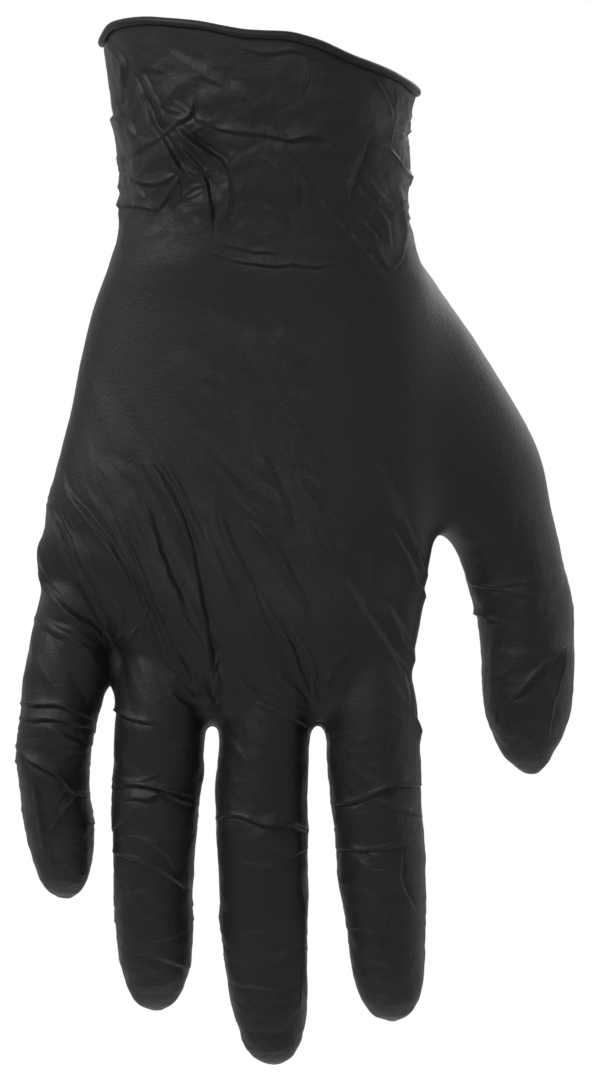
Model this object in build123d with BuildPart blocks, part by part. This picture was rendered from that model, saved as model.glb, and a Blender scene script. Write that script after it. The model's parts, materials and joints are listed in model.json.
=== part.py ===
"""A dip-moulded disposable glove, worn open: a right hand hanging fingers down, its back to the front.

The real glove is one skin of nitrile film. Here that skin is parted along the lines where it flexes, so
that each zone between two flex lines is a piece of its own, and hinges join the pieces:

    cuff_bead, cuff |wrist| palm |fold| knuckle_band |root| proximal |mid| middle |end| tip

The thumb hangs from the palm in the same way, with a root and an end. +Z is up, out of the cuff. +X is
the thumb's side. +Y is the palm's side, so the back of the hand faces -Y. The origin is the centre of
the cuff's opening. Sizes are in millimetres, and angles in degrees.
"""

from build123d import *

import os
from math import cos, radians, sin, tan

# ---------------------------------------------------------------- driving dimensions
FILM = 0.2  # thickness of the film
BEAD_RADIUS = 1.1  # the cuff's edge, rolled on itself
BEAD_RISE = 0.9  # the bead's centre above the cuff's edge
CLEARANCE = 0.3  # half of the slit at a flex line, where the hinge's axis crosses it

RIM_TILT = 12.0  # the rim drops towards the thumb's side
FOLD_TILT = 8.7  # the knuckles' line drops towards the index finger
WEB_TILT = 12.0  # and so does the line of the webs

# The body of the glove from the rim to the webs: height, centre in X, half width, half depth, tilt.
RIM = (0.0, 0.0, 37.4, 24.0, RIM_TILT)
CUFF = [
    RIM,
    (-20.0, -0.3, 34.3, 22.5, 0.0),
    (-36.0, 0.4, 33.6, 20.5, 0.0),
]
HAND = [
    (-43.0, 0.4, 35.0, 20.0, 0.0),
    (-56.0, 0.8, 39.8, 17.5, 0.0),
    (-75.0, -1.0, 43.0, 15.5, 0.0),
    (-100.0, -4.7, 45.7, 14.5, 0.0),
    (-120.0, -6.5, 46.0, 14.0, 0.0),
    (-133.0, -8.2, 45.8, 13.5, 0.0),
]
WEBS = (-153.0, -10.3, 47.4, 10.8, WEB_TILT)
CORNER_SHARE = 0.94  # corner radius as a share of the half depth

WRIST = (0.0, 0.0, -43.0)
FOLD = (-5.0, 3.5, -131.5)

# A digit's line from inside the hand through its hinges to its tip, with half width and half depth.
FINGERS = {
    "index": {
        "inside": (22.5, 0.0, -142.0, 10.4, 9.6),
        "root": (25.1, 1.5, -166.0, 10.8, 9.7),
        "mid": (26.0, 4.5, -180.0, 10.4, 9.4),
        "end": (28.3, 10.5, -203.5, 9.4, 8.4),
        "tip": (30.1, 19.0, -227.0),
    },
    "middle": {
        "inside": (-0.6, -0.5, -138.0, 10.4, 9.8),
        "root": (-0.7, 1.2, -164.5, 10.7, 9.8),
        "mid": (-0.8, 4.5, -183.5, 10.6, 9.6),
        "end": (-0.1, 11.0, -209.5, 9.9, 8.7),
        "tip": (1.9, 20.5, -237.8),
    },
    "ring": {
        "inside": (-22.5, 0.0, -134.0, 10.2, 9.4),
        "root": (-24.8, 2.0, -163.5, 10.7, 9.5),
        "mid": (-26.0, 5.0, -178.5, 10.2, 9.2),
        "end": (-26.4, 11.5, -202.5, 9.1, 8.3),
        "tip": (-25.4, 20.5, -224.7),
    },
    "little": {
        "inside": (-43.5, 1.0, -128.0, 9.4, 8.8),
        "root": (-46.8, 2.5, -149.5, 9.6, 8.8),
        "mid": (-49.8, 5.0, -163.0, 8.7, 8.2),
        "end": (-49.0, 9.5, -180.5, 8.2, 7.4),
        "tip": (-47.3, 16.0, -198.1),
    },
}
THUMB_BASE = [
    (24.0, 3.0, -62.0, 12.0, 10.0),
    (38.8, 8.0, -83.0, 16.0, 12.0),
    (51.5, 13.0, -101.0, 14.2, 11.8),
]
THUMB = {
    "root": (57.5, 17.0, -117.5, 11.8, 10.9),
    "end": (61.6, 19.5, -139.0, 11.3, 10.3),
    "pad": (62.2, 20.5, -152.0, 10.4, 9.2),
    "tip": (63.9, 21.0, -168.7),
}
FINGER_HINGES = ("root", "mid", "end")

# The travel of each kind of flex line, from straightened back to flexed towards the palm.
TRAVEL = {
    "wrist": (-20.0, 20.0),
    "fold": (-5.0, 50.0),
    "root": (-10.0, 40.0),
    "mid": (0.0, 85.0),
    "end": (0.0, 51.0),
    "thumb_root": (-10.0, 30.0),
    "thumb_end": (-5.0, 60.0),
}
HINGE_SHARE = 1.0 / 3.0  # a digit's hinge lies this share of its half depth to the palmar side

FINGER_PALMAR = Vector(0.0, 1.0, 0.0)
THUMB_PALMAR = Vector(-0.75, 0.66, 0.0).normalized()
DOWN = Vector(0.0, 0.0, -1.0)

DOME_ANGLES = (0.0, 24.0, 45.0, 63.0, 77.0)  # the rings that round off a fingertip
DOME_SHARE = 0.94  # the first ring's size as a share of the last station's


# ---------------------------------------------------------------- shared shapes
def level_plane(height, centre, tilt):
    """A section's plane across the glove's body, leaning towards the thumb's side."""
    lean = radians(tilt)
    return Plane(
        origin=(centre, 0.0, height),
        x_dir=(cos(lean), 0.0, -sin(lean)),
        z_dir=(sin(lean), 0.0, cos(lean)),
    )


def body_shape(inset):
    """The glove's body, open at the rim and closed at the webs, drawn in by inset."""
    web_height, *web_section = WEBS
    sections = [*CUFF, *HAND, (web_height + inset, *web_section)]
    with BuildPart() as body:
        for height, centre, half_width, half_depth, tilt in sections:
            with BuildSketch(level_plane(height, centre, tilt)):
                RectangleRounded(
                    2.0 * (half_width - inset),
                    2.0 * (half_depth - inset),
                    CORNER_SHARE * half_depth - inset,
                )
        loft(ruled=True)
    return body.part


def digit_shape(stations, tip, palmar, inset):
    """A digit's tube through its stations, rounded off at its tip and drawn in all round by inset."""
    places = [Vector(*station[:3]) for station in stations] + [Vector(*tip)]
    with BuildPart() as digit:
        for i, (*_, half_width, half_depth) in enumerate(stations):
            along = (places[i + 1] - places[max(i - 1, 0)]).normalized()
            across = along.cross(palmar).normalized()
            with BuildSketch(Plane(places[i], x_dir=across, z_dir=along)):
                Ellipse(half_width - inset, half_depth - inset)
        along = (places[-1] - places[-2]).normalized()
        across = along.cross(palmar).normalized()
        dome_base = places[-1] - along * half_width
        for angle in DOME_ANGLES:
            rise = (half_width - inset) * sin(radians(angle))
            shrink = DOME_SHARE * cos(radians(angle))
            with BuildSketch(Plane(dome_base + along * rise, x_dir=across, z_dir=along)):
                Ellipse((half_width - inset) * shrink, (half_depth - inset) * shrink)
        loft(ruled=True)
    return digit.part


def flex_gap(pivot, along, palmar, travel, reach, half_span):
    """The wedge of room that a flex line needs for its two sides to clear each other over its travel."""
    straight, flexed = travel
    palmar_reach, dorsal_reach = reach
    palmar = (palmar - along * palmar.dot(along)).normalized()
    palmar_half = palmar_reach * tan(radians(flexed / 2.0)) + CLEARANCE
    dorsal_half = dorsal_reach * tan(radians(-straight / 2.0)) + CLEARANCE
    with BuildPart() as gap:
        with BuildSketch(Plane(pivot, x_dir=along, z_dir=along.cross(palmar))):
            Polygon(
                (palmar_half, palmar_reach),
                (-palmar_half, palmar_reach),
                (-CLEARANCE, 0.0),
                (-dorsal_half, -dorsal_reach),
                (dorsal_half, -dorsal_reach),
                (CLEARANCE, 0.0),
                align=None,
            )
        extrude(amount=half_span, both=True)
    return gap.part


# ---------------------------------------------------------------- hinges
def hinge(station, palmar, before, after, turn_in_yz):
    """A digit's hinge: where its axis is, and the way the digit runs through it."""
    pivot = Vector(*station[:3]) + palmar * (station[4] * HINGE_SHARE)
    along = Vector(*after[:3]) - Vector(*before[:3])
    if turn_in_yz:
        along = Vector(0.0, along.Y, along.Z)
    return pivot, along.normalized()


def all_hinges():
    """Every flex line by name: pivot, way along, palmar side, travel, reach of its gap and half span."""
    fold_lean = radians(FOLD_TILT)
    fold_along = Vector(-sin(fold_lean), 0.0, -cos(fold_lean))
    found = {
        "wrist": (Vector(*WRIST), DOWN, FINGER_PALMAR, TRAVEL["wrist"], (40.0, 40.0), 60.0),
        "fold": (Vector(*FOLD), fold_along, FINGER_PALMAR, TRAVEL["fold"], (14.0, 22.0), 52.0),
    }
    for name, finger in FINGERS.items():
        stations = list(finger.values())
        for i, kind in enumerate(FINGER_HINGES, 1):
            pivot, along = hinge(
                stations[i], FINGER_PALMAR, stations[i - 1], stations[i + 1], turn_in_yz=True
            )
            found[f"{name}_{kind}"] = (
                pivot, along, FINGER_PALMAR, TRAVEL[kind], (9.0, 14.0), 11.9
            )
    for kind, before, after in (
        ("root", THUMB_BASE[-1], THUMB["end"]),
        ("end", THUMB["root"], THUMB["pad"]),
    ):
        pivot, along = hinge(THUMB[kind], THUMB_PALMAR, before, after, turn_in_yz=False)
        travel = TRAVEL[f"thumb_{kind}"]
        found[f"thumb_{kind}"] = (pivot, along, THUMB_PALMAR, travel, (11.0, 16.0), 13.5)
    return found


# ---------------------------------------------------------------- the film
def skin_surface(inset):
    """The whole glove as one closed body, drawn in by inset. The film lies between two of these."""
    with BuildPart() as glove:
        add(body_shape(inset))
        for finger in FINGERS.values():
            *stations, tip = finger.values()
            add(digit_shape(stations, tip, FINGER_PALMAR, inset))
        *stations, tip = THUMB_BASE + list(THUMB.values())
        add(digit_shape(stations, tip, THUMB_PALMAR, inset))
    return glove.part


with BuildPart() as film:
    add(skin_surface(0.0))
    add(skin_surface(FILM), mode=Mode.SUBTRACT)
    for flex_line in all_hinges().values():
        add(flex_gap(*flex_line), mode=Mode.SUBTRACT)


# ---------------------------------------------------------------- the pieces
def halfway(a, b):
    return (Vector(*a[:3]) + Vector(*b[:3])) * 0.5


def zone_middles():
    """A point inside each zone of the film, by the zone's name."""
    middles = {
        "cuff": Vector(0.0, 0.0, -20.0),
        "palm": Vector(-3.0, 0.0, -85.0),
        "knuckle_band": Vector(-10.0, 0.0, -141.0),
        "thumb_proximal": halfway(THUMB["root"], THUMB["end"]),
        "thumb_tip": halfway(THUMB["end"], THUMB["tip"]),
    }
    for name, finger in FINGERS.items():
        middles[f"{name}_proximal"] = halfway(finger["root"], finger["mid"])
        middles[f"{name}_middle"] = halfway(finger["mid"], finger["end"])
        middles[f"{name}_tip"] = halfway(finger["end"], finger["tip"])
    return middles


os.makedirs("parts", exist_ok=True)
for zone_name, middle in zone_middles().items():
    with BuildPart() as zone:
        add(film.part.solids().sort_by_distance(middle)[0])
    zone.part.label = zone_name
    export_step(zone.part, f"parts/{zone_name}.step")

# The rolled edge is a cord of film around the rim, and it sits on the cuff's flat edge.
rim_height, rim_centre, rim_half_width, rim_half_depth, rim_tilt = RIM
rim_plane = level_plane(rim_height, rim_centre, rim_tilt)
with BuildSketch(rim_plane.offset(BEAD_RISE)) as rim_outline:
    RectangleRounded(
        2.0 * rim_half_width - FILM,
        2.0 * rim_half_depth - FILM,
        CORNER_SHARE * rim_half_depth - FILM / 2.0,
    )
rim_path = rim_outline.sketch.face().outer_wire()
with BuildPart() as cuff_bead:
    with BuildSketch(Plane(rim_path @ 0, z_dir=rim_path % 0)):
        Circle(BEAD_RADIUS)
    sweep(path=rim_path)
    split(bisect_by=rim_plane, keep=Keep.TOP)
cuff_bead.part.label = "cuff_bead"
export_step(cuff_bead.part, "parts/cuff_bead.step")
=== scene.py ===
"""A black disposable nitrile glove, worn open: a right hand hanging fingers down, its back to the camera.

The real glove is one skin of film, so it's made here as one surface: tubes for the hand and the digits are
joined, the folds are pressed in, and only then is the film parted into pieces. A piece on one body is hung
from it; a piece that spans a joint is left in place, hung from no body. Neighbours are made to meet where
neither is bending, to keep the film whole.

Tables of shape are in millimetres. Blender's own lengths are in metres. +Z is up, out of the cuff, +X is
the thumb's side, and the back of the hand faces -Y.
"""

import json
from math import pi

import bmesh
import bpy
import numpy as np
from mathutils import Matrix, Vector


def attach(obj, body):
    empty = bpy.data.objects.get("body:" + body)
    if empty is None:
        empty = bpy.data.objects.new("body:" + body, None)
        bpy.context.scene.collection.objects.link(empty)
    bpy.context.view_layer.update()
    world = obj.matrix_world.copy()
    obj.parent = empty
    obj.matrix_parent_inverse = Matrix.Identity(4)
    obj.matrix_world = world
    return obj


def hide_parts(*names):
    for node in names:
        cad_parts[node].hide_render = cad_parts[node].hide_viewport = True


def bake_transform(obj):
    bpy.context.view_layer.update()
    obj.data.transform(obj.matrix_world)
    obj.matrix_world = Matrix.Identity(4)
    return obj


MM = 0.001
FILM = 0.2  # thickness of the film
VOXEL = 1.4  # the tubes are joined on a grid this fine, and a coarser one would bridge the fingers
SEED = 20261117

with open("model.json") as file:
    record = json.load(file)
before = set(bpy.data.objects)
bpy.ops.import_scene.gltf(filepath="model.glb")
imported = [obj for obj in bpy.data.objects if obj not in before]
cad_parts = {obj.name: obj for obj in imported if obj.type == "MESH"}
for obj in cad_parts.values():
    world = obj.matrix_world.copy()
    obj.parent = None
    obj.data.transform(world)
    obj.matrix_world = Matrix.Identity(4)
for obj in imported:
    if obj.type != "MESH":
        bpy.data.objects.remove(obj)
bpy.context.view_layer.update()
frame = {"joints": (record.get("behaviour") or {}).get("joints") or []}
joints = {joint["name"]: joint for joint in frame["joints"]}


def pivot(joint):
    return np.array(joints[joint]["pos_m"]) / MM


# ---------------------------------------------------------------- shape of the hand
# Height, left and right edge, depth of the back and of the palm, squareness.
BODY = [
    (16, -38.8, 36.6, 25.8, 24.0, 2.2),
    (6, -38.3, 35.8, 25.6, 24.0, 2.2),
    (-3, -37.4, 34.8, 24.9, 24.0, 2.2),
    (-12, -36.0, 34.0, 23.8, 23.5, 2.3),
    (-22, -34.7, 34.2, 22.5, 22.5, 2.3),
    (-33, -33.8, 33.8, 20.6, 21.0, 2.4),
    (-41, -34.0, 34.8, 19.2, 19.8, 2.4),
    (-50, -36.8, 37.0, 18.2, 18.4, 2.5),
    (-60, -40.4, 40.0, 16.8, 17.0, 2.4),
    (-72, -43.3, 41.0, 15.8, 16.2, 2.4),
    (-86, -46.3, 41.0, 15.0, 15.8, 2.4),
    (-100, -50.0, 41.0, 14.4, 15.2, 2.4),
    (-112, -51.9, 40.4, 14.0, 14.6, 2.5),
    (-122, -52.6, 39.0, 13.8, 14.0, 2.5),
    (-132, -53.4, 37.6, 13.6, 13.6, 2.6),
    (-141, -53.6, 36.4, 12.6, 12.6, 2.5),
    (-149, -53.0, 35.2, 11.0, 11.0, 2.4),
    (-154, -52.0, 34.6, 8.6, 8.6, 2.3),
    (-157, -51.0, 34.0, 5.4, 5.4, 2.2),
    (-158.8, -50.0, 33.0, 2.2, 2.2, 2.2),
]
# The hand's far edge isn't level: how much higher it ends than between the middle and index fingers.
END_X = (-56, -46, -36, -24, -12, 12, 26, 38)
END_RISE = (29, 25, 19.5, 8, 0.5, 0, 3, 8)
# A digit's line: x, y, z, half width, half depth. The last point is its tip.
DIGITS = {
    "index": [
        (22.0, 0.0, -136.0, 9.5, 9.0), (24.6, 0.6, -152.0, 11.1, 10.0),
        (25.4, 1.6, -164.0, 11.1, 10.0), (26.0, 3.2, -173.0, 10.8, 9.7),
        (26.8, 5.0, -182.0, 10.5, 9.4), (27.5, 7.6, -192.0, 10.5, 9.2),
        (28.4, 10.4, -201.5, 9.7, 8.6), (28.8, 13.2, -210.5, 9.1, 8.2),
        (29.3, 15.8, -217.5, 8.3, 7.6), (29.8, 17.6, -222.8, 6.9, 6.4),
        (30.1, 18.7, -226.2, 5.0, 4.7), (30.1, 19.2, -228.2),
    ],
    "middle": [
        (-0.6, -0.5, -132.0, 9.8, 9.4), (-0.2, 0.2, -148.0, 11.1, 10.2),
        (-0.1, 1.0, -160.0, 10.6, 10.1), (-0.8, 2.6, -172.0, 10.8, 9.8),
        (-0.7, 4.6, -183.0, 10.9, 9.6), (-0.4, 7.2, -193.0, 10.7, 9.4),
        (-0.3, 10.0, -203.0, 10.5, 9.1), (0.1, 13.2, -212.0, 10.1, 8.8),
        (0.7, 16.0, -220.5, 9.4, 8.3), (1.4, 18.3, -228.0, 8.3, 7.4),
        (1.9, 19.6, -233.4, 6.9, 6.3), (2.1, 20.4, -236.9, 4.7, 4.3),
        (2.1, 20.8, -238.8),
    ],
    "ring": [
        (-22.3, 0.0, -128.0, 9.8, 9.2), (-23.2, 0.3, -144.0, 11.2, 10.0),
        (-24.5, 1.0, -157.0, 10.9, 9.9), (-25.3, 3.0, -169.0, 10.6, 9.4),
        (-25.9, 5.0, -179.0, 10.3, 9.2), (-26.2, 7.6, -189.0, 9.8, 8.8),
        (-26.4, 10.4, -198.0, 9.3, 8.4), (-26.1, 13.3, -207.0, 9.1, 8.1),
        (-26.0, 16.3, -214.5, 8.2, 7.5), (-25.9, 18.4, -219.8, 6.7, 6.3),
        (-25.6, 19.7, -223.4, 4.8, 4.4), (-25.5, 20.6, -225.4),
    ],
    "little": [
        (-43.2, 1.0, -122.0, 8.6, 8.4), (-45.2, 1.2, -135.0, 9.7, 9.0),
        (-46.9, 1.8, -147.0, 9.8, 9.0), (-48.6, 3.2, -157.0, 9.3, 8.6),
        (-49.8, 5.0, -165.0, 8.9, 8.2), (-49.4, 7.2, -174.0, 8.4, 7.8),
        (-48.5, 9.9, -182.5, 8.3, 7.4), (-47.8, 12.6, -189.5, 7.2, 6.7),
        (-47.5, 14.6, -194.4, 5.6, 5.2), (-47.3, 15.6, -197.2, 3.9, 3.6),
        (-47.3, 16.2, -198.9),
    ],
    "thumb": [
        (15.5, 2.0, -49.0, 16.5, 11.5), (27.5, 4.5, -67.0, 19.0, 12.8),
        (39.6, 7.5, -85.2, 19.0, 12.6), (50.7, 11.5, -100.6, 16.9, 12.0),
        (56.0, 14.5, -111.5, 12.9, 11.6), (58.5, 16.0, -119.5, 12.1, 11.2),
        (60.8, 17.4, -128.0, 12.0, 11.0), (62.0, 18.6, -137.0, 11.7, 10.8),
        (62.2, 19.5, -146.0, 11.6, 10.4), (62.2, 20.4, -154.0, 10.7, 9.8),
        (62.4, 21.0, -160.0, 8.9, 8.3), (62.9, 21.3, -165.2, 6.2, 5.7),
        (63.5, 21.4, -167.8, 4.3, 4.0), (63.8, 21.4, -169.9),
    ],
}
# The palm's side of each digit, from its first point to its tip.
PALMAR = {"thumb": ((-0.25, 0.97, 0.0), (-0.75, 0.66, 0.0))}
# Where the film between two digits is rounded: place and radius of the rounding.
WEBS = [((-36, 1, -143), 3.5), ((-12, 1, -158), 3.5), ((12.5, 1, -158), 3.5), ((42, 9, -112), 10)]
# The rim's height across the front, from the little finger's side to the thumb's.
RIM_X = (-39, -36, -32, -27, -15, -5, 6, 13, 20, 29, 36, 39)
RIM_Z = (1.6, 5.9, 6.8, 7.0, 5.7, 3.5, 3.1, 1.1, -2.1, -5.3, -8.8, -9.6)
# Where the base of the thumb runs smoothly into the hand: place and radius.
THUMB_BASE = [
    ((37, -9, -56), 9), ((38, -9, -68), 11), ((39, -8, -80), 12), ((40, -7, -92), 12), ((41, -4, -102), 10),
    ((35, 15, -60), 9), ((36, 17, -74), 11), ((38, 19, -88), 12), ((40, 20, -100), 12), ((42, 19, -109), 9),
]
CUT_HEIGHT = 2.0  # the tube is cut level here, and the cut is then drawn to the rim's heights


BODY_POINTS, BODY_SPACING = 160, 3.0  # around each ring of the hand, and from ring to ring
DIGIT_POINTS, DIGIT_SPACING = 64, 2.5
TIP_RADIUS = 1.3  # the last ring of a digit
FAR_EDGE_START, FAR_EDGE_LENGTH = -100, 55  # where the rings start to lean towards the far edge


def smooth_step(t):
    """0 to 1, with a gentle start and end."""
    return t * t * (3 - 2 * t)


def smooth_line(points, spacing):
    """Points of any width along a smooth line through the given ones, about spacing apart."""
    points = np.array(points, float)
    ends = [2 * points[0] - points[1], 2 * points[-1] - points[-2]]
    p = np.vstack([ends[0], points, ends[1]])
    out = []
    for i in range(1, len(p) - 2):
        n = max(1, round(float(np.linalg.norm(p[i + 1][:3] - p[i][:3])) / spacing))
        for t in np.arange(n) / n:
            a = 2 * p[i]
            b = p[i + 1] - p[i - 1]
            c = 2 * p[i - 1] - 5 * p[i] + 4 * p[i + 1] - p[i + 2]
            d = 3 * p[i] - 3 * p[i + 1] + p[i + 2] - p[i - 1]
            out.append((a + b * t + c * t**2 + d * t**3) / 2)
    return np.array(out + [p[-2]])


def unit(v):
    v = np.asarray(v, float)
    return v / np.linalg.norm(v, axis=-1, keepdims=True)


def tube(rings):
    """Vertices and faces of a closed tube through rings of equal count."""
    count = len(rings[0])
    verts = [p for ring in rings for p in ring] + [rings[0].mean(0), rings[-1].mean(0)]
    faces = []
    for r in range(len(rings) - 1):
        for k in range(count):
            a, b = r * count + k, r * count + (k + 1) % count
            faces.append((a, b, b + count, a + count))
    first, last = len(verts) - 2, len(verts) - 1
    top = (len(rings) - 1) * count
    for k in range(count):
        faces.append((first, (k + 1) % count, k))
        faces.append((last, top + k, top + (k + 1) % count))
    return np.array(verts), faces


def body_tube():
    turn = np.linspace(0, 2 * pi, BODY_POINTS, endpoint=False)
    table = smooth_line([(row[0], 0.0, 0.0, *row) for row in BODY], BODY_SPACING)[:, 3:]
    rings = []
    for height, left, right, back, palm, square in table:
        half_width = (right - left) / 2
        x = (left + right) / 2 + half_width * np.sign(np.cos(turn)) * abs(np.cos(turn)) ** (2 / square)
        depth = np.where(np.sin(turn) < 0, back, palm)
        y = depth * np.sign(np.sin(turn)) * abs(np.sin(turn)) ** (2 / square)
        share = np.clip((FAR_EDGE_START - height) / FAR_EDGE_LENGTH, 0, 1)
        z = height + smooth_step(share) * np.interp(x, END_X, END_RISE)
        rings.append(np.column_stack([x, y, z]))
    return tube(rings)


def digit_tube(name):
    rows = DIGITS[name]
    start, end = PALMAR.get(name, ((0, 1, 0), (0, 1, 0)))
    table = smooth_line([(*row, TIP_RADIUS, TIP_RADIUS)[:5] for row in rows], DIGIT_SPACING)
    turn = np.linspace(0, 2 * pi, DIGIT_POINTS, endpoint=False)
    onward = unit(np.gradient(table[:, :3], axis=0))
    rings = []
    for i, (*place, half_width, half_depth) in enumerate(table):
        palmar = unit(np.array(start) * (1 - i / len(table)) + np.array(end) * (i / len(table)))
        across = unit(np.cross(onward[i], palmar))
        towards_palm = np.cross(across, onward[i])
        rings.append(
            np.array(place)
            + np.outer(np.cos(turn) * half_width, across)
            + np.outer(np.sin(turn) * half_depth, towards_palm)
        )
    return tube(rings)


def mesh_object(name, verts, faces):
    """A linked mesh object from millimetres."""
    mesh = bpy.data.meshes.new(name)
    mesh.from_pydata((np.asarray(verts) * MM).tolist(), [], [tuple(map(int, f)) for f in faces])
    mesh.update()
    made = bpy.data.objects.new(name, mesh)
    bpy.context.scene.collection.objects.link(made)
    return made


def applied(thing):
    """The object's mesh with its modifiers applied. The object itself is removed."""
    evaluated = thing.evaluated_get(bpy.context.evaluated_depsgraph_get())
    mesh = bpy.data.meshes.new_from_object(evaluated)
    bpy.data.objects.remove(thing)
    return mesh


def arrays(mesh):
    """Vertices in millimetres, and four corners of each face (a triangle repeats its last)."""
    verts = np.zeros(len(mesh.vertices) * 3)
    mesh.vertices.foreach_get("co", verts)
    faces = [tuple(p.vertices) for p in mesh.polygons]
    faces = np.array([f if len(f) == 4 else (*f, f[-1]) for f in faces])
    return verts.reshape(-1, 3) / MM, faces


def edges_of(faces):
    pairs = np.vstack([faces[:, [k, (k + 1) % 4]] for k in range(4)])
    pairs = pairs[pairs[:, 0] != pairs[:, 1]]
    return np.unique(np.sort(pairs, axis=1), axis=0)


def neighbour_mean(values, edges):
    total = np.zeros_like(values)
    count = np.zeros(len(values))
    for a, b in ((0, 1), (1, 0)):
        np.add.at(total, edges[:, a], values[edges[:, b]])
        np.add.at(count, edges[:, a], 1)
    return total / np.maximum(count, 1)[:, None]


def normals_of(verts, faces):
    a, b, c, d = (verts[faces[:, k]] for k in range(4))
    face_normal = np.cross(c - a, d - b)
    face_normal[faces[:, 2] == faces[:, 3]] = np.cross(b - a, c - a)[faces[:, 2] == faces[:, 3]]
    out = np.zeros_like(verts)
    for k in range(4):
        np.add.at(out, faces[:, k], face_normal)
    return out / np.maximum(np.linalg.norm(out, axis=1, keepdims=True), 1e-9)


def near(verts, centre, radius):
    """1 at centre, falling smoothly to 0 at twice the radius."""
    d = np.linalg.norm(verts - np.array(centre, float), axis=1) / radius
    return np.clip(1 - (d / 2) ** 2, 0, 1) ** 2


def creased_place(at):
    """Whether the back's film is sharply creased here, and so needs a finer mesh."""
    if at.x > 44:
        return -164 < at.z < -118  # the thumb past its base
    cuff = at.z > -54
    drapes = at.z < -97 and at.x < 16
    fingers = -206 < at.z < -148
    return cuff or drapes or fingers


BACK_FACING = 0.05  # film whose normal has less +Y than this faces the back or the sides


def joined_hand():
    """One closed surface around the body and all the digits, cut open at the cuff."""
    verts, faces = body_tube()
    for name in DIGITS:
        more, more_faces = digit_tube(name)
        faces = faces + [tuple(k + len(verts) for k in f) for f in more_faces]
        verts = np.vstack([verts, more])
    raw = mesh_object("hand_raw", verts, faces)
    remesh = raw.modifiers.new("join", "REMESH")
    remesh.mode = "VOXEL"
    remesh.voxel_size = VOXEL * MM
    mesh = applied(raw)
    cut = bmesh.new()
    cut.from_mesh(mesh)
    everything = cut.verts[:] + cut.edges[:] + cut.faces[:]
    bmesh.ops.bisect_plane(
        cut, geom=everything, plane_co=(0, 0, CUT_HEIGHT * MM), plane_no=(0, 0, 1), clear_outer=True
    )
    bmesh.ops.recalc_face_normals(cut, faces=cut.faces[:])
    cut.normal_update()
    fine = {v for v in cut.verts if v.normal.y < BACK_FACING and creased_place(v.co / MM)}
    sharper = [e for e in cut.edges if e.verts[0] in fine and e.verts[1] in fine]
    bmesh.ops.subdivide_edges(cut, edges=sharper, cuts=1, use_grid_fill=True)
    bmesh.ops.triangulate(cut, faces=[f for f in cut.faces if len(f.verts) > 4])
    cut.to_mesh(mesh)
    cut.free()
    return mesh


GRID_ROUNDS = 6
SHRINK, SWELL = 0.5, -0.52  # a step in, then a slightly larger one out, so that the hand keeps its size
THUMB_BASE_ROUNDS, WEB_ROUNDS = 60, 10
LOCAL_STEP = 0.6


def smoothed_near(verts, edges, places, rounds):
    """Smooths the surface near some places, and leaves it alone elsewhere."""
    share = LOCAL_STEP * np.clip(sum(near(verts, place, radius) for place, radius in places), 0, 1)[:, None]
    for _ in range(rounds):
        verts = verts + share * (neighbour_mean(verts, edges) - verts)
    return verts


def relax(verts, faces):
    """Takes the grid's steps out, and rounds the webs."""
    edges = edges_of(faces)
    rim = verts[:, 2] > CUT_HEIGHT - 1e-4
    for _ in range(GRID_ROUNDS):
        for step in (SHRINK, SWELL):
            moved = verts + step * (neighbour_mean(verts, edges) - verts)
            verts = np.where(rim[:, None], verts, moved)
    for places, rounds in ((THUMB_BASE, THUMB_BASE_ROUNDS), (WEBS, WEB_ROUNDS)):
        verts = smoothed_near(verts, edges, places, rounds)
    return verts


# ---------------------------------------------------------------- noise
def lattice_value(at, seed):
    """A number between -1 and 1 for each whole-numbered place."""
    h = (at[:, 0] * 374761393 + at[:, 1] * 668265263 + at[:, 2] * 2147483647 + seed * 974634777) & 0xFFFFFFFF
    h = ((h ^ (h >> 13)) * 1274126177) & 0xFFFFFFFF
    return ((h ^ (h >> 16)) & 0xFFFF) / 32767.5 - 1


def lattice_noise(points, seed):
    """Smooth noise between -1 and 1, with features about one unit across."""
    low = np.floor(points).astype(np.int64)
    part = points - low
    ease = smooth_step(part)
    total = np.zeros(len(points))
    for corner in np.ndindex(2, 2, 2):
        value = lattice_value(low + np.array(corner), seed)
        weight = np.prod(np.where(np.array(corner) == 1, ease, 1 - ease), axis=1)
        total += value * weight
    return total


def facets(points, seed):
    """Noise between -1 and 1 that is flat between sharp edges, like crumpled film."""
    sway = 0.35 * np.column_stack([lattice_noise(points * 0.9 + 31 * k, seed + 50 + k) for k in range(3)])
    points = points + sway
    low = np.floor(points).astype(np.int64)
    part = points - low
    order = np.argsort(-part, axis=1)
    ranked = np.take_along_axis(part, order, axis=1)
    corner, before = low.copy(), np.ones(len(points))
    total = np.zeros(len(points))
    for k in range(3):
        total += (before - ranked[:, k]) * lattice_value(corner, seed)
        before = ranked[:, k]
        corner[np.arange(len(points)), order[:, k]] += 1
    return total + before * lattice_value(corner, seed)


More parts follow.
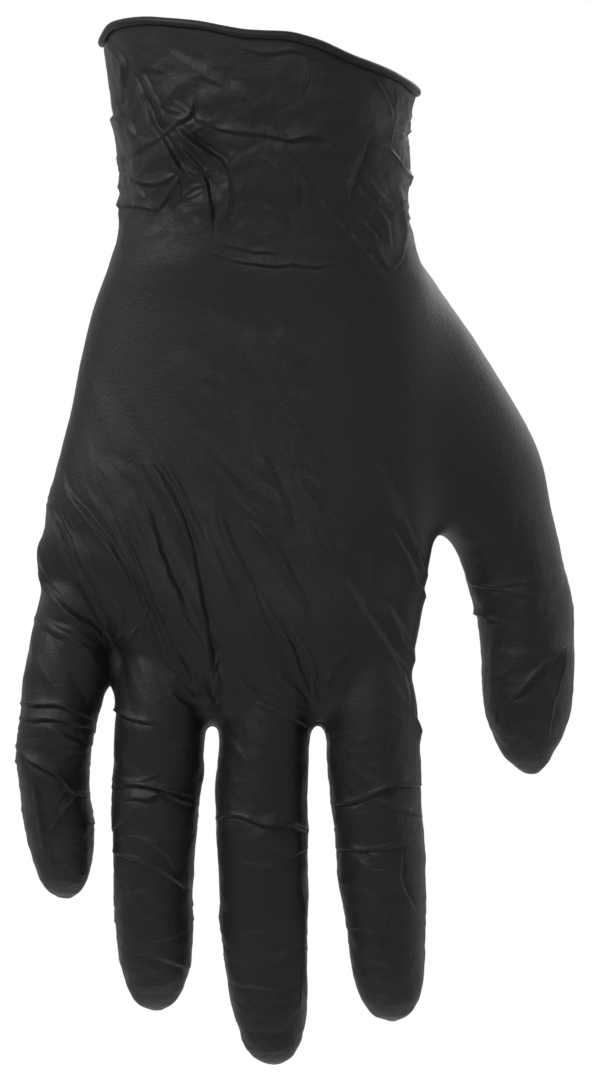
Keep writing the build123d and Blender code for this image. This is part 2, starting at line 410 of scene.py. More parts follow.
# ---------------------------------------------------------------- folds
# A fold is a sharp crest along a line in x and z, steep on its right or lower side: line, height, width.
CUFF_FOLDS = [
    ([(-33, -2), (-28, -13), (-24, -20), (-20, -28), (-14, -32)], 1.14, 0.96),
    ([(-31, -2), (-25, -12), (-21, -20)], 0.62, 0.64),
    ([(-36, -27), (-29.6, -23), (-25, -20.6), (-20, -17), (-17, -14.8), (-16.7, -8)], 0.79, 0.77),
    ([(-36, -26), (-29, -30.4), (-23.3, -30), (-19, -28)], 0.97, 0.77),
    ([(-23, -16), (-15.4, -22.8), (-10, -26.4), (-8.6, -31)], 1.32, 1.09),
    ([(-21, -20), (-17, -26), (-13, -30)], 0.88, 0.77),
    ([(-20, -28), (-14.5, -30), (-12.7, -37), (-11.6, -43)], 1.06, 0.77),
    ([(-17, -17.6), (-5.6, -18.8), (5, -21), (12, -20.3), (21, -22.2)], 0.79, 0.83),
    ([(-25, 1), (-12, -6.8), (-3, -12), (3.3, -20), (5.5, -27)], 0.35, 1.92),
    ([(3.5, -21), (8.6, -31), (12.2, -35), (16.6, -39.7), (21, -44), (26.4, -49.4), (30, -51)], 0.65, 1.02),
    ([(25, -19), (22.8, -25.5), (21, -29), (19.4, -36)], 0.97, 0.83),
    ([(10, 1), (9.5, -5), (8, -12.5)], 0.35, 0.9),
    ([(-8, 1.0), (-1, -0.8), (6.8, -0.2), (12, -2), (19.3, -4.5), (26, -8)], 0.53, 0.77),
    ([(23.5, -3), (28, -10.4), (30, -18)], 0.79, 0.77),
    ([(34.5, -9), (32, -13), (29.6, -18), (29, -23)], 0.79, 0.7),
    ([(31, -7), (30.4, -16)], 0.62, 0.64),
    ([(28, -21), (31, -25), (34, -29), (36, -34)], 0.88, 0.83),
    ([(31.5, -30), (31.5, -37), (33, -42), (33, -48)], 0.79, 0.77),
    ([(24, -41), (26.2, -45.3), (29.3, -50.4), (32.5, -47.6), (34.4, -41)], 0.45, 0.7),
    ([(22, -38), (25, -42), (27, -44)], 0.62, 0.58),
    ([(18, -41), (22, -45), (27, -46)], 0.53, 0.58),
    ([(-26.5, -38), (-21.6, -31.7), (-19.4, -28)], 0.62, 0.7),
    ([(-34, -28), (-27.8, -35)], 0.62, 0.7),
    ([(-37, -35), (-30, -36), (-25, -37)], 0.62, 0.77),
    ([(-12, -44.2), (-3.8, -46.5), (4, -47.3)], 0.44, 0.51),
    ([(-15, -46.5), (-4.4, -49.2), (5.8, -50), (12, -50.3), (20, -49.4)], 0.53, 0.51),
    ([(-38, 4), (-34, -3), (-33, -10)], 0.7, 0.9),
    ([(-39, -14), (-33, -16), (-29, -21)], 0.79, 0.83),
    ([(-39, -22), (-34, -25)], 0.7, 0.77),
    ([(-11, -25), (-8, -33), (-9, -41)], 0.53, 1.15),
    ([(-2, -24), (6, -31), (8, -38)], 0.44, 1.44),
]
BACK_FOLDS = [
    ([(-49, -93), (-46, -103), (-40, -111), (-34.6, -119), (-29, -130), (-23, -143), (-19, -151)], 1.12, 1.3),
    ([(-53, -102), (-50, -108), (-46, -117), (-41.5, -127), (-37.5, -136.5), (-35.6, -142.5)], 1.05, 1.2),
    ([(-56, -118), (-53, -122), (-50.7, -127), (-45, -132), (-39, -136.5), (-35.8, -141)], 1.27, 1.1),
    ([(-57, -131), (-50, -135), (-44, -138)], 0.75, 1.2),
    ([(-37.5, -101), (-34.6, -107.7), (-27.7, -125), (-23, -136.5), (-17.4, -149), (-12.6, -157)], 0.9, 1.2),
    (
        [(-32, -85), (-27.6, -94), (-22, -104), (-18, -115), (-15.1, -130), (-12.6, -146), (-12.2, -157)],
        1.27, 1.3,
    ),
    ([(-27, -89), (-21.6, -98.5), (-17, -109), (-13, -122)], 0.75, 1.2),
    ([(-35, -94), (-30, -103), (-25.5, -114), (-21, -126), (-16, -139)], 0.9, 1.2),
    ([(-43, -99), (-37, -109), (-32, -120), (-29, -130)], 0.75, 1.2),
    ([(-26, -118), (-20, -131), (-14, -141), (-11.6, -152)], 0.75, 0.7),
    ([(-30, -136), (-23, -146), (-17, -151)], 0.44, 0.9),
    ([(-22.4, -81), (-15.3, -90), (-7.5, -98.5), (2, -105.6), (10, -111)], 0.48, 2.4),
    ([(-19.7, -88), (-9.3, -102), (-3.6, -107.7), (4.4, -112.3)], 0.42, 2.0),
    ([(-14.5, -60), (-4.4, -70), (1.9, -78), (5.8, -89)], 0.45, 3.0),
    ([(-6, -63), (2, -72), (10.5, -80)], 0.42, 2.8),
    ([(2, -64), (11.3, -73.5)], 0.36, 2.6),
    ([(-3, -124), (2, -132), (8, -143), (12.4, -157)], 0.69, 0.75),
    ([(6, -133), (11, -143), (14, -156)], 0.62, 0.65),
    ([(-4, -120), (-1, -131), (5, -141)], 0.44, 0.7),
    ([(-5, -151), (4.4, -155), (11.5, -158.5)], 0.62, 0.65),
    ([(-8, -146), (0, -151), (8, -156)], 0.5, 0.6),
    ([(20, -128), (26, -135), (31, -144), (36, -158)], 0.9, 1.3),
    ([(26, -126), (32, -136), (37, -148)], 0.6, 1.5),
    ([(28, -146), (34, -154), (38, -165)], 0.75, 0.9),
    ([(24, -92), (28.5, -105), (33.4, -115)], 0.38, 3.0),
    ([(28, -109), (32.5, -117), (37, -127), (39.5, -132)], 0.8, 1.1),
    ([(32, -108), (35.5, -116), (39, -125)], 0.88, 0.9),
]
DIGIT_FOLDS = [
    ([(-60, -152.6), (-49, -153), (-43.7, -154.6), (-38, -157)], 1.2, 0.72),
    ([(-60, -156.6), (-51, -156), (-46, -157), (-39, -159)], 1.08, 0.72),
    ([(-53, -156.5), (-49.6, -159), (-41, -163.6)], 0.6, 0.72),
    ([(-60, -162), (-53.7, -166), (-49, -169), (-45.4, -173), (-39, -174)], 1.32, 0.8),
    ([(-43, -172), (-46.8, -177), (-52, -183)], 0.7, 0.72),
    ([(-45.5, -171), (-49, -176), (-52, -180)], 0.5, 0.64),
    ([(-54.5, -168), (-53, -179), (-51, -192)], 0.6, 0.88),
    ([(-51, -178), (-50.4, -192)], 0.4, 0.72),
    ([(-37, -152.8), (-31.6, -155.7), (-25, -157)], 0.96, 0.72),
    ([(-38, -170.8), (-28.2, -170), (-23, -168)], 0.6, 0.56),
    ([(-38, -173), (-30.3, -171.2), (-25.4, -172.5), (-20, -173.6), (-14, -175.4)], 1.32, 0.72),
    ([(-38, -176), (-31, -174.3), (-27.5, -175), (-24, -174), (-18.5, -176), (-14, -177)], 1.08, 0.72),
    ([(-37, -184), (-32, -178), (-29, -177)], 0.5, 0.64),
    ([(-38, -187), (-30, -189.4), (-24, -192.2), (-17, -197.5)], 0.96, 0.72),
    ([(-36, -185), (-30, -184.4), (-24, -187), (-19.5, -194)], 0.5, 0.72),
    (
        [(-14, -180.5), (-9, -178.8), (-4.8, -179), (-1.3, -180.5), (3.5, -180.8), (7.7, -181.5), (12, -184)],
        1.56, 0.8,
    ),
    ([(-8, -187), (-2.7, -190), (4.5, -189.8)], 0.3, 1.12),
    ([(11, -186), (6, -189), (3, -194)], 0.35, 0.96),
    ([(4.2, -198), (4.9, -206), (4.4, -216)], 0.3, 1.12),
    ([(9.2, -194), (8.7, -210), (7.8, -228)], 0.6, 0.56),
    ([(-13, -159), (-8, -162), (-4, -167)], 0.3, 1.28),
    ([(14, -176.6), (21.4, -175), (25.6, -173.2), (30.4, -172), (39, -171.8)], 1.44, 0.8),
    ([(17, -180.5), (24.2, -175.3), (29.7, -177), (39, -180)], 0.7, 0.64),
    ([(14, -186.7), (22.8, -187), (29.7, -186), (39, -184.6)], 0.7, 0.72),
    ([(32.5, -187), (32, -193.6), (33.2, -197.7), (36, -203)], 0.96, 0.64),
    ([(30, -196), (27, -206.7), (26.2, -213)], 0.5, 0.8),
    ([(21, -190), (27, -192), (31, -191)], 0.4, 0.8),
    ([(46, -124), (54.4, -125.8), (59.2, -127.2), (66, -128.8)], 0.6, 0.64),
    ([(52, -126), (58, -124.8), (67, -124)], 0.4, 0.64),
    ([(46, -131.4), (50.6, -131.8), (56, -134.4)], 1.32, 0.8),
    ([(74, -137), (66, -143.7), (60.6, -149.5), (55, -154)], 1.0, 0.72),
    ([(72.5, -137), (70.2, -145.4), (67.8, -153.7), (67, -161)], 0.9, 0.8),
]


FOLD_STEP = 1.2  # a fold's line is followed in steps of about this length
FOLD_REACH = 6  # how many widths away a fold still moves the film
FOLD_TAPER = 0.28  # the share of a fold's line over which each end fades


def nearest_on_line(flat, points):
    """For each place, its distance to a line, signed by the side it's on, and how far along the line it is.

    Distances are positive on the line's right or lower side.
    """
    chord = points[-1] - points[0]
    turned = 1.0 if chord[0] * 0.5 + chord[1] * 0.86 < 0 else -1.0
    best = np.full(len(flat), 1e9)
    signed, along = np.zeros(len(flat)), np.zeros(len(flat))
    for i, (a, b) in enumerate(zip(points[:-1], points[1:])):
        run = b - a
        t = np.clip((flat - a) @ run / (run @ run), 0, 1)
        offset = flat - (a + t[:, None] * run)
        distance = np.linalg.norm(offset, axis=1)
        closer = distance < best
        best[closer] = distance[closer]
        signed[closer] = (turned * np.sign(offset @ (-run[1], run[0])) * distance)[closer]
        along[closer] = ((i + t) / (len(points) - 1))[closer]
    return signed, along


def fold_profile(s):
    """A fold's height across its line, s widths away: a gentle rise, a crest at 0, a drop and a hollow."""
    gentle = 0.65 * np.exp(np.minimum(s, 0) / 0.9) + 0.35 * np.exp(np.minimum(s, 0) / 3.0)
    steep = np.where(s < 1, 1 - 1.6 * s, -0.6 * np.exp(-np.maximum(s - 1, 0) / 1.4))
    return np.where(s < 0, gentle, steep)


def wandered(verts):
    """Places in x and z, each a little off, so that no fold runs quite true."""
    wander = [
        0.5 * lattice_noise(verts / 8 + k, SEED + 60) + 0.25 * lattice_noise(verts / 3 + k, SEED + 61)
        for k in (0, 53)
    ]
    return verts[:, [0, 2]] + np.column_stack(wander)


def press_folds(verts, normals, folds, facing):
    """How far each vertex moves out for these folds, on the side of the hand that faces that way.

    Where folds meet, the highest crest and the deepest hollow count, so they don't pile up.
    """
    crest, hollow = np.zeros(len(verts)), np.zeros(len(verts))
    places = wandered(verts)
    vigour = 0.9 + 0.5 * lattice_noise(verts / 8, SEED + 62)
    side = np.clip(0.7 + 1.4 * facing * normals[:, 1], 0, 1)
    for line, height, width in folds:
        points = smooth_line([(*p, 0.0) for p in line], FOLD_STEP)[:, :2]
        reach = FOLD_REACH * width
        low, high = points.min(0) - reach, points.max(0) + reach
        mine = np.flatnonzero((places > low).all(1) & (places < high).all(1) & (side > 0))
        signed, along = nearest_on_line(places[mine], points)
        taper = smooth_step(np.clip(np.minimum(along, 1 - along) / FOLD_TAPER, 0, 1))
        s = signed / (width * (0.45 + 0.55 * taper))
        move = side[mine] * vigour[mine] * taper * height * fold_profile(s)
        crest[mine] = np.maximum(crest[mine], move)
        hollow[mine] = np.minimum(hollow[mine], move)
    return crest + hollow


# Where creases of the cuff meet, as at the points of a crumpled sheet.
PINCHES = [(-20, -28), (-17, -16), (-24, -20), (-35, -26), (30, -18), (26, -36), (-12, -31)]
# Where two fingers part, from the little finger's side.
CROTCHES = [(-36, -142), (-12.3, -157), (12.3, -157)]


def ray(place, start, angle, length, height, width):
    """A short fold from a point, at an angle in degrees above +X, that sways a little."""
    way = np.array([np.cos(np.radians(angle)), np.sin(np.radians(angle))])
    sway = np.array([-way[1], way[0]]) * place.uniform(-0.12, 0.12) * length
    start = np.array(start, float)
    line = [tuple(start), tuple(start + way * length / 2 + sway), tuple(start + way * length)]
    return (line, height, width)


def small_folds(seed):
    """The lesser folds: stars at the cuff's pinches, drapes, fans above the webs, creases on digits."""
    place = np.random.default_rng(seed)
    folds = []
    for pinch in PINCHES:
        for angle in place.uniform(0, 360, 5):
            height, width = place.uniform(0.2, 0.5), place.uniform(0.5, 0.9)
            folds.append(ray(place, pinch, angle, place.uniform(5, 12), height, width))
    for _ in range(8):
        at = (place.uniform(-36, 33), place.uniform(-42, -4))
        angle, length, height = place.uniform(-80, 20), place.uniform(6, 14), place.uniform(0.25, 0.5)
        folds.append(ray(place, at, angle, length, height, 0.9))
    for start in np.linspace(-54, 8, 20):
        at = (start + place.uniform(-2, 2), place.uniform(-112, -84))
        height, width = place.uniform(0.25, 0.6), place.uniform(0.9, 2.4)
        folds.append(ray(place, at, place.uniform(-66, -56), place.uniform(22, 46), height, width))
    for _ in range(7):
        at = (place.uniform(-22, 16), place.uniform(-88, -60))
        height, width = place.uniform(0.2, 0.4), place.uniform(1.4, 2.4)
        folds.append(ray(place, at, place.uniform(-54, -44), place.uniform(14, 30), height, width))
    for x, z in CROTCHES:
        for angle in (*place.uniform(98, 152, 8), *place.uniform(60, 90, 2)):
            out = np.array([np.cos(np.radians(angle)), np.sin(np.radians(angle))]) * 2
            height, width = place.uniform(0.35, 0.7), place.uniform(0.45, 0.8)
            folds.append(ray(place, (x + out[0], z + out[1]), angle, place.uniform(7, 20), height, width))
    for name, rows in DIGITS.items():
        line = np.array([row[:3] for row in rows])
        for _ in range(7):
            z = place.uniform(line[-1][2] + 14, -152 if name != "thumb" else -122)
            x = np.interp(-z, -line[:, 2], line[:, 0]) + place.uniform(-13, 0)
            angle = place.choice((-1, 1)) * place.uniform(4, 28)
            folds.append(ray(place, (x, z), angle, place.uniform(8, 15), place.uniform(0.1, 0.24), 1.0))
    return folds


def across_digits(seed):
    """Folds across the palm's side of each digit, where it bends."""
    place = np.random.default_rng(seed)
    folds = []
    for name, rows in DIGITS.items():
        for joint in ("mid", "end") if name != "thumb" else ("end",):
            at = pivot(f"{name}_{joint}")
            line = np.array([row[:3] for row in rows])
            for shift in (-3.0, 0.0, 3.4) if joint == "mid" else (-1.5, 2.0):
                z = at[2] + shift + place.uniform(-0.6, 0.6)
                x = np.interp(-z, -line[:, 2], line[:, 0])
                drop, bow = place.uniform(-1.2, 1.2), place.uniform(-1.0, 1.0)
                folds.append((
                    [(x - 12, z + drop), (x - 4, z + bow), (x + 4, z - bow), (x + 12, z - drop)],
                    place.uniform(0.4, 0.8), place.uniform(0.8, 1.1),
                ))
    return folds


PALM_FOLDS = [
    ([(-54, -128), (-40, -131), (-24, -138), (-14, -146)], 0.5, 1.6),
    ([(-50, -112), (-30, -118), (-5, -122), (18, -131), (34, -135)], 0.7, 1.8),
    ([(36, -118), (18, -108), (4, -94), (-4, -78), (-5, -62)], 0.8, 2.0),
    ([(40, -112), (27, -100), (16, -84), (12, -68)], 0.5, 1.6),
    ([(-47, -90), (-34, -98), (-22, -110)], 0.5, 1.6),
    ([(-44, -74), (-30, -84), (-18, -98), (-12, -112)], 0.5, 1.5),
    ([(-4, -152), (4, -148), (12, -154)], 0.5, 1.0),
    ([(-24, -150), (-12, -147), (-2, -152)], 0.5, 1.0),
    ([(-30, -46), (-14, -49), (2, -48), (20, -50), (34, -47)], 0.7, 1.1),
    ([(-32, -50), (-18, -53), (-2, -52), (14, -54)], 0.5, 1.0),
]


def fold_film(verts, normals):
    """The surface with its folds, crumples and dips pressed in."""
    move = press_folds(verts, normals, CUFF_FOLDS + BACK_FOLDS + DIGIT_FOLDS + small_folds(SEED + 70), -1)
    turned = [([(-x, z - 3) for x, z in line], height, width) for line, height, width in CUFF_FOLDS]
    move += press_folds(verts, normals, turned + PALM_FOLDS + across_digits(SEED) + small_folds(SEED + 71), 1)
    x, y, z = verts.T
    # the slack cuff is crumpled all round, most of all halfway up
    slack = np.clip((z + 52) / 14, 0, 1) * np.clip((5 - z) / 16, 0, 1)
    slack = slack * (1 - 0.5 * np.exp(-(((x - 7) / 13) ** 2)))
    move += slack * 0.9 * facets(np.column_stack([x / 11 + z / 40, y / 11, z / 9]), SEED)
    move += slack * 0.36 * facets(np.column_stack([x / 5, y / 5, z / 4]), SEED + 1)
    move += slack * 0.1 * facets(np.column_stack([x / 2.2, y / 2.2, z / 2]), SEED + 2)
    # the film drapes over the hand in long low ridges towards the little finger's side
    drape = np.clip((-70 - z) / 30, 0, 1) * np.clip((z + 168) / 20, 0, 1) * np.clip((34 - x) / 30, 0, 1)
    run, across = 0.42 * x - 0.91 * z, 0.91 * x + 0.42 * z
    move += drape * 0.9 * facets(np.column_stack([across / 6, y / 14, run / 38]), SEED + 9)
    # the film dips above the webs on both sides of the middle finger, and beside the index knuckle
    back = np.clip(0.5 - 2 * normals[:, 1], 0, 1)
    for web_x, web_z in CROTCHES[1:]:
        side_on, up_on = x - web_x + 0.35 * (z - web_z), z - web_z - 5
        move -= 2.0 * back * np.exp(-((side_on / 3.8) ** 2) - (up_on / 7) ** 2)
    move -= 2.0 * back * np.exp(-(((x - 27.5) / 5.5) ** 2) - ((z + 122) / 10) ** 2)
    # digits are snug, so their facets are faint
    digit = np.clip((-150 - z) / 15, 0, 1) + np.clip((x - 44) / 4, 0, 1) * np.clip((-104 - z) / 15, 0, 1)
    digit = np.clip(digit, 0, 1)
    move += digit * 0.27 * facets(np.column_stack([x / 6, y / 6, z / 7]), SEED + 21)
    move += digit * 0.12 * facets(np.column_stack([x / 3, y / 3, z / 2.2]), SEED + 22)
    return verts + normals * move[:, None]


RIM_DRAW = 30  # the film is drawn over this length below the opening's level
FAR_SIDE_DROP = 1.2


def draw_to_rim(verts):
    """Slides the top of the cuff up or down to the rim's heights. The far side is a little lower."""
    x, y, z = verts.T
    target = np.interp(x, RIM_X, RIM_Z) - FAR_SIDE_DROP * np.clip(y / 20 + 0.5, 0, 1)
    ease = smooth_step(np.clip((z + RIM_DRAW) / (CUT_HEIGHT + RIM_DRAW), 0, 1))
    out = verts.copy()
    out[:, 2] = z + ease * (target - CUT_HEIGHT)
    return out


# ---------------------------------------------------------------- the film as a whole
mesh = joined_hand()
verts, faces = arrays(mesh)
verts = relax(verts, faces)
coarse = mesh_object("hand_coarse", verts, [tuple(dict.fromkeys(f)) for f in faces.tolist()])
subdivide = coarse.modifiers.new("fine", "SUBSURF")
subdivide.levels = subdivide.render_levels = 1
verts, faces = arrays(applied(coarse))
verts = draw_to_rim(verts)
verts = fold_film(verts, normals_of(verts, faces))
outer_normals = normals_of(verts, faces)


# ---------------------------------------------------------------- material
def nitrile():
    made = bpy.data.materials.new("black_nitrile")
    made.use_nodes = True
    nodes, links = made.node_tree.nodes, made.node_tree.links
    shader = nodes["Principled BSDF"]
    shader.inputs["Roughness"].default_value = 0.55
    place = nodes.new("ShaderNodeTexCoord")
    grain = nodes.new("ShaderNodeTexNoise")
    grain.inputs["Scale"].default_value = 1300
    grain.inputs["Detail"].default_value = 4
    grain.inputs["Roughness"].default_value = 0.7
    shade = nodes.new("ShaderNodeMapRange")
    for socket, value in (("From Min", 0.3), ("From Max", 0.7), ("To Min", 0.005), ("To Max", 0.013)):
        shade.inputs[socket].default_value = value
    colour = nodes.new("ShaderNodeCombineColor")
    bump = nodes.new("ShaderNodeBump")
    bump.inputs["Strength"].default_value = 0.7
    bump.inputs["Distance"].default_value = 0.0002
    links.new(place.outputs["Object"], grain.inputs["Vector"])
    links.new(grain.outputs["Fac"], shade.inputs["Value"])
    for channel in ("Red", "Green", "Blue"):
        links.new(shade.outputs["Result"], colour.inputs[channel])
    links.new(colour.outputs["Color"], shader.inputs["Base Color"])
    links.new(grain.outputs["Fac"], bump.inputs["Height"])
    links.new(bump.outputs["Normal"], shader.inputs["Normal"])
    return made


film_material = nitrile()

# ---------------------------------------------------------------- pieces
# Half the length over which the film bends at each joint.
FINGERS = ("index", "middle", "ring", "little")
BEND = {"wrist": 15, "knuckle_fold": 17, "thumb_root": 6.5, "thumb_end": 8}
for finger in FINGERS:
    BEND |= {f"{finger}_root": 5.5, f"{finger}_mid": 7.5, f"{finger}_end": 6}
NEXT_PLACE = {f"{finger}_root": f"{finger}_mid" for finger in FINGERS}
NEXT_PLACE |= {f"{finger}_mid": f"{finger}_end" for finger in FINGERS}
NEXT_PLACE["thumb_root"] = "thumb_end"


def heading(joint):
    """The way the film runs through a joint: on to the next joint or the tip, square to the axis."""
    finger = joint.split("_")[0]
    if joint in NEXT_PLACE:
        way = pivot(NEXT_PLACE[joint]) - pivot(joint)
    elif finger in DIGITS:
        way = np.array(DIGITS[finger][-1]) - pivot(joint)
    else:
        way = np.array([0.0, 0.0, -1.0])
    axis = unit(joints[joint]["axis"])
    return unit(way - axis * (way @ axis))


def beyond(points, joint):
    """How far points are past the joint, along the way that the film runs."""
    return (points - pivot(joint)) @ heading(joint)


def finger_at(points):
    """The finger that each point belongs to: the one whose line is nearest for its width."""
    away = []
    for finger in FINGERS:
        line = np.array(DIGITS[finger][:-1])
        middle = np.interp(-points[:, 2], -line[:, 2], line[:, 0])
        half_width = np.interp(-points[:, 2], -line[:, 2], line[:, 3])
        away.append(abs(points[:, 0] - middle) / half_width)
    return np.array(FINGERS, dtype=object)[np.argmin(away, axis=0)]


THUMB_EDGE, THUMB_TOP = 42.7, -95  # the thumb's film is farther out and lower than this
FINGERS_TOP = -120  # the fingers' film is lower than this
TIP_SLACK = 25  # a tip's film starts at most this far above halfway from the mid hinge to the end hinge


def film_zones():
    """The name of the piece that each face of the film belongs to."""
    centres = verts[faces].mean(1)
    cx, _, cz = centres.T
    zone = np.full(len(faces), "palm_skin", dtype=object)
    zone[beyond(centres, "wrist") < BEND["wrist"]] = "wrist_skin"
    zone[beyond(centres, "wrist") < -BEND["wrist"]] = "cuff_skin"
    past_thumb_root = beyond(centres, "thumb_root")
    is_thumb = (cx > THUMB_EDGE) & (past_thumb_root > -BEND["thumb_root"]) & (cz < THUMB_TOP)
    zone[(beyond(centres, "knuckle_fold") > -BEND["knuckle_fold"]) & ~is_thumb] = "knuckle_skin"
    nearest_finger = finger_at(centres)
    for finger in FINGERS:
        mine = (nearest_finger == finger) & ~is_thumb & (cz < FINGERS_TOP)
        cut = (pivot(f"{finger}_mid") + pivot(f"{finger}_end")) / 2
        past_root, root_bend = beyond(centres, f"{finger}_root"), BEND[f"{finger}_root"]
        past_mid = beyond(centres, f"{finger}_mid") > BEND[f"{finger}_mid"]
        zone[mine & (past_root > -root_bend)] = f"{finger}_root_skin"
        mine = mine & (past_root - root_bend > 0)
        zone[mine] = f"{finger}_mid_skin"
        zone[mine & past_mid & (cz < cut[2] + TIP_SLACK)] = f"{finger}_tip_skin"
    zone[is_thumb] = "thumb_root_skin"
    zone[is_thumb & (past_thumb_root > BEND["thumb_root"])] = "thumb_tip_skin"
    return zone


zone = film_zones()

# Each piece: its body, the body it bends to, the joint it bends at and the CAD nodes it stands for.
PIECES = {
    "cuff_skin": ("cuff", None, None, ["cuff"]),
    "wrist_skin": ("cuff", "palm", "wrist", []),
    "palm_skin": ("palm", None, None, ["palm"]),
    "knuckle_skin": ("palm", "knuckle_band", "knuckle_fold", ["knuckle_band"]),
    "thumb_root_skin": ("palm", "thumb_proximal", "thumb_root", ["thumb_proximal"]),
    "thumb_tip_skin": ("thumb_proximal", "thumb_tip", "thumb_end", ["thumb_tip"]),
}
# A finger's pieces from its root: the piece, the joint it bends at and the body beyond.
FINGER_SKINS = (("root", "root", "proximal"), ("mid", "mid", "middle"), ("tip", "end", "tip"))
for finger in FINGERS:
    near_body = "knuckle_band"
    for skin, joint, length in FINGER_SKINS:
        far_body = f"{finger}_{length}"
        PIECES[f"{finger}_{skin}_skin"] = (near_body, far_body, f"{finger}_{joint}", [far_body])
        near_body = far_body


def film_piece(name, body, second, nodes):
    """A zone of the film as a closed piece: its outside, its inside and the narrow wall at its edges."""
    mine = faces[zone == name]
    used, inverse = np.unique(mine, return_inverse=True)
    mine = inverse.reshape(-1, 4)
    outside = verts[used]
    inside = outside - outer_normals[used] * FILM
    count = len(used)
    quads = [tuple(dict.fromkeys(f)) for f in mine.tolist()]
    directed = {(f[k], f[(k + 1) % len(f)]) for f in quads for k in range(len(f))}
    walls = [(b, a, a + count, b + count) for a, b in directed if (b, a) not in directed]
    lining = [tuple(k + count for k in reversed(f)) for f in quads]
    piece = mesh_object(name, np.vstack([outside, inside]), quads + lining + walls)
    piece.data.polygons.foreach_set("use_smooth", [True] * len(piece.data.polygons))
    normals = np.vstack([outer_normals[used], -outer_normals[used]])
    piece.data.normals_split_custom_set_from_vertices(normals.tolist())
    piece.data.materials.append(film_material)
    if second:
        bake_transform(piece)
    else:
        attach(piece, body)
    if nodes:
        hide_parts(*nodes)
    return piece


for name, (body, second, joint, nodes) in PIECES.items():
    film_piece(name, body, second, nodes)


def rim_line():
    """The film's free edge in order, as points in millimetres."""
    count = {}
    for f in faces.tolist():
        f = list(dict.fromkeys(f))
        for k in range(len(f)):
            pair = tuple(sorted((f[k], f[(k + 1) % len(f)])))
            count[pair] = count.get(pair, 0) + 1
    linked = {}
    for (a, b), n in count.items():
        if n == 1:
            linked.setdefault(a, []).append(b)
            linked.setdefault(b, []).append(a)
    start = min(linked)
    line, before = [start], None
    while True:
        onward = [k for k in linked[line[-1]] if k != before]
        before = line[-1]
        if onward[0] == start:
            break
        line.append(onward[0])
    return verts[line]


BEAD_RADIUS, BEAD_POINTS, BEAD_SPACING = 1.0, 20, 0.9
BEAD_ROUNDS = 6  # of smoothing, along its line
BEAD_UNEVEN = 0.12  # how much its radius comes and goes
BEAD_OUT = 0.35  # how far its centre stands outside the film


def rolled_bead():
    """The film's edge, rolled on itself a few turns into a cord."""
    edge = rim_line()
    edge = np.vstack([edge, edge[:1]])
    along = np.append(0, np.cumsum(np.linalg.norm(np.diff(edge, axis=0), axis=1)))
    even = np.linspace(0, along[-1], round(along[-1] / BEAD_SPACING), endpoint=False)
    line = np.column_stack([np.interp(even, along, edge[:, k]) for k in range(3)])
    for _ in range(BEAD_ROUNDS):
        line = (line + 0.5 * (np.roll(line, 1, 0) + np.roll(line, -1, 0))) / 2
    way = unit(np.roll(line, -1, 0) - np.roll(line, 1, 0))
    outward = unit(np.cross(way, (0, 0, 1)))
    if ((line - line.mean(0)) * outward).sum() < 0:
        outward = -outward
    up = unit(np.cross(outward, way))
    up = np.where(up[:, 2:] < 0, -up, up)
    turn = np.linspace(0, 2 * pi, BEAD_POINTS, endpoint=False)
    size = BEAD_RADIUS + BEAD_UNEVEN * lattice_noise(line / 6, SEED + 40)
    centre = line + BEAD_OUT * outward
    rings = [
        c + s * (np.outer(np.cos(turn), o) + np.outer(np.sin(turn), u))
        for c, s, o, u in zip(centre, size, outward, up)
    ]

    def corner(r, k):
        return (r % len(rings)) * BEAD_POINTS + k % BEAD_POINTS

    quads = [
        (corner(r, k), corner(r + 1, k), corner(r + 1, k + 1), corner(r, k + 1))
        for r in range(len(rings)) for k in range(BEAD_POINTS)
    ]
    bead = mesh_object("rolled_edge", np.vstack(rings), quads)
    bead.data.polygons.foreach_set("use_smooth", [True] * len(bead.data.polygons))
    bead.data.materials.append(film_material)
    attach(bead, "cuff")
    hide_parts("cuff_bead")


rolled_bead()

# ---------------------------------------------------------------- studio
MIDDLE = Vector((7.3, 0, -114.2)) * MM  # what the camera looks at
FRAME_HEIGHT = 253.8 * MM
CAMERA_DISTANCE = 2.4
SENSOR = 36  # the picture's longer side, its height


FLOOR_HEIGHT, FLOOR_REACH = -2500, 4000  # low, so that it throws little light up on the fingers


def pale_floor():
    reach = FLOOR_REACH
    corners = [(-reach, -reach), (reach, -reach), (reach, reach), (-reach, reach)]
    floor = mesh_object("floor", [(x, y, FLOOR_HEIGHT) for x, y in corners], [(0, 1, 2, 3)])
    paint = bpy.data.materials.new("pale_floor")
    paint.use_nodes = True
    paint.node_tree.nodes["Principled BSDF"].inputs["Base Color"].default_value = (0.92, 0.92, 0.92, 1)
    paint.node_tree.nodes["Principled BSDF"].inputs["Roughness"].default_value = 0.9
    floor.data.materials.append(paint)


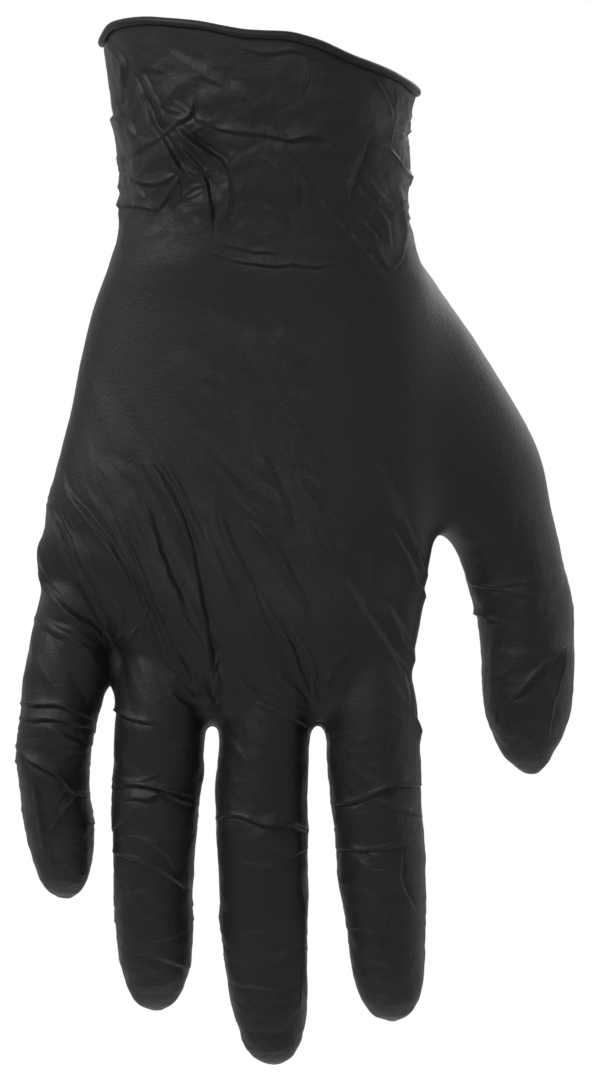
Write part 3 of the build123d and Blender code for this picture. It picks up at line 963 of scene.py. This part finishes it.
def white_surround():
    """Plain white to the camera. As a light it's bright behind the glove and dim in front of it."""
    world = bpy.data.worlds.new("white_surround")
    bpy.context.scene.world = world
    world.use_nodes = True
    nodes, links = world.node_tree.nodes, world.node_tree.links
    background = nodes["Background"]
    background.inputs["Color"].default_value = (1, 1, 1, 1)
    way = nodes.new("ShaderNodeTexCoord")
    parts = nodes.new("ShaderNodeSeparateXYZ")
    lit = nodes.new("ShaderNodeMapRange")
    lit.interpolation_type = "SMOOTHSTEP"
    for socket, value in (("From Min", -0.4), ("From Max", 0.7), ("To Min", 0.06), ("To Max", 0.85)):
        lit.inputs[socket].default_value = value
    path = nodes.new("ShaderNodeLightPath")
    seen = nodes.new("ShaderNodeMath")
    seen.operation = "MAXIMUM"
    links.new(way.outputs["Generated"], parts.inputs["Vector"])
    links.new(parts.outputs["Y"], lit.inputs["Value"])
    links.new(lit.outputs["Result"], seen.inputs[0])
    links.new(path.outputs["Is Camera Ray"], seen.inputs[1])
    links.new(seen.outputs["Value"], background.inputs["Strength"])


def area(name, place, size, power):
    """A rectangular light, in metres and watts, that faces the glove."""
    lamp = bpy.data.lights.new(name, "AREA")
    lamp.shape = "RECTANGLE"
    lamp.size, lamp.size_y = size
    lamp.energy = power
    made = bpy.data.objects.new(name, lamp)
    made.location = place
    made.rotation_euler = (MIDDLE - Vector(place)).to_track_quat("-Z", "Y").to_euler()
    bpy.context.scene.collection.objects.link(made)


def front_camera():
    camera = bpy.data.cameras.new("camera")
    camera.sensor_width = SENSOR
    camera.lens = SENSOR * CAMERA_DISTANCE / FRAME_HEIGHT
    camera.clip_end = 50
    eye = bpy.data.objects.new("camera", camera)
    eye.location = MIDDLE + Vector((0, -CAMERA_DISTANCE, 0))
    eye.rotation_euler = (pi / 2, 0, 0)
    bpy.context.scene.collection.objects.link(eye)
    bpy.context.scene.camera = eye


pale_floor()
white_surround()
area("key", (-1.0, -1.0, 0.8), (0.4, 0.4), 16)
area("front_fill", (0.1, -2.7, 0.6), (1.0, 0.6), 10.5)
area("right_strip", (1.2, -0.1, 0.0), (0.3, 1.2), 3)
area("under", (0.0, 0.6, -1.2), (1.2, 1.2), 4.5)
area("back_key", (0.9, 1.1, 0.7), (0.5, 0.5), 9)
front_camera()
bpy.context.scene.view_settings.view_transform = "Standard"
